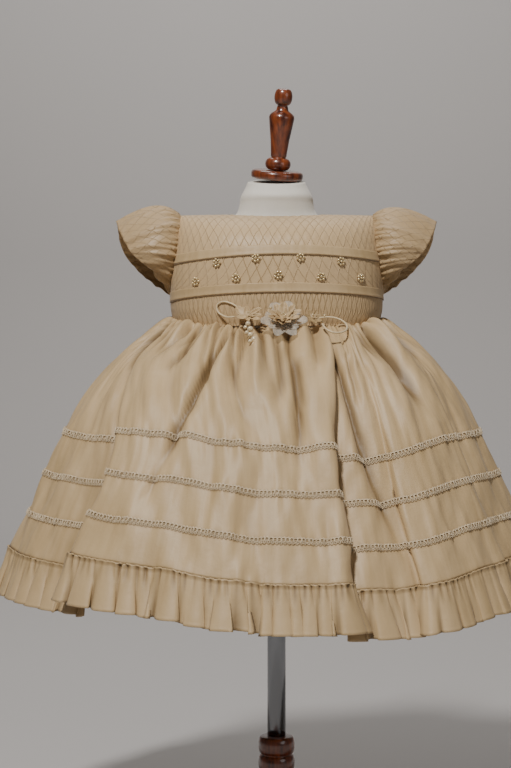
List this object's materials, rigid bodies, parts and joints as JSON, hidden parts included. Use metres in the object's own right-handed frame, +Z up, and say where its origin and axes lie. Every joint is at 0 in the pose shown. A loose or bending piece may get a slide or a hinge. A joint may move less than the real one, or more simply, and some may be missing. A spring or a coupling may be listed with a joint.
{
  "type": "christening gown on a child's dress form",
  "caption": "Short-sleeved gathered gown of champagne satin with pin-tucked bodice, braided skirt and ruffled hem, on a limbless dress form with a turned wooden stand.",
  "frame": {"origin": "middle of the underside of the stand's base", "axes": "+Z up, along the pole to the finial; -Y out of the front of the gown; +X to the gown's own left hand side as worn, which is the right seen from the front"},
  "size_m": [0.5482, 0.5335, 0.7618],
  "materials": {
    "satin": "champagne satin with a soft sheen",
    "tucked_satin": "satin in diamond pin-tucks",
    "braid": "scalloped braid, matt",
    "organza": "sheer organza",
    "cord": "twisted cord",
    "bead": "pearly gold bead",
    "pearl": "pearl",
    "form_cover": "matt off-white cotton",
    "wood": "dark red-brown gloss varnish",
    "chrome": "polished chrome tube"
  },
  "bodies": {
    "root": {"form_body": "form_cover", "stand_base": "wood", "stand_column": "wood", "neck_cap": "wood", "finial": "wood", "pole": "chrome", "bodice_front_lower": "tucked_satin", "bodice_front_middle": "tucked_satin", "bodice_front_upper": "tucked_satin", "bodice_back_right": "tucked_satin", "bodice_back_left": "tucked_satin", "sleeve_right": "tucked_satin", "sleeve_left": "tucked_satin", "tuck_lower": "satin", "tuck_upper": "satin", "back_placket": "satin", "button_1": "satin", "button_2": "satin", "button_3": "satin", "button_4": "satin", "skirt_front": "satin", "skirt_back": "satin", "ruffle": "satin", "spray_flower": "satin", "spray_left": "satin", "spray_right": "satin", "braid_upper": "braid", "braid_middle": "braid", "braid_lower": "braid", "spray_organza": "organza", "bead_flower_1": "bead", "bead_flower_2": "bead", "bead_flower_3": "bead", "bead_flower_4": "bead", "bead_flower_5": "bead", "bead_flower_6": "bead", "bead_flower_7": "bead", "bead_flower_8": "bead", "bead_flower_9": "bead", "cord_loop_left": "cord", "cord_loop_right": "cord", "pearl_drop": "pearl"}
  },
  "joints": []
}
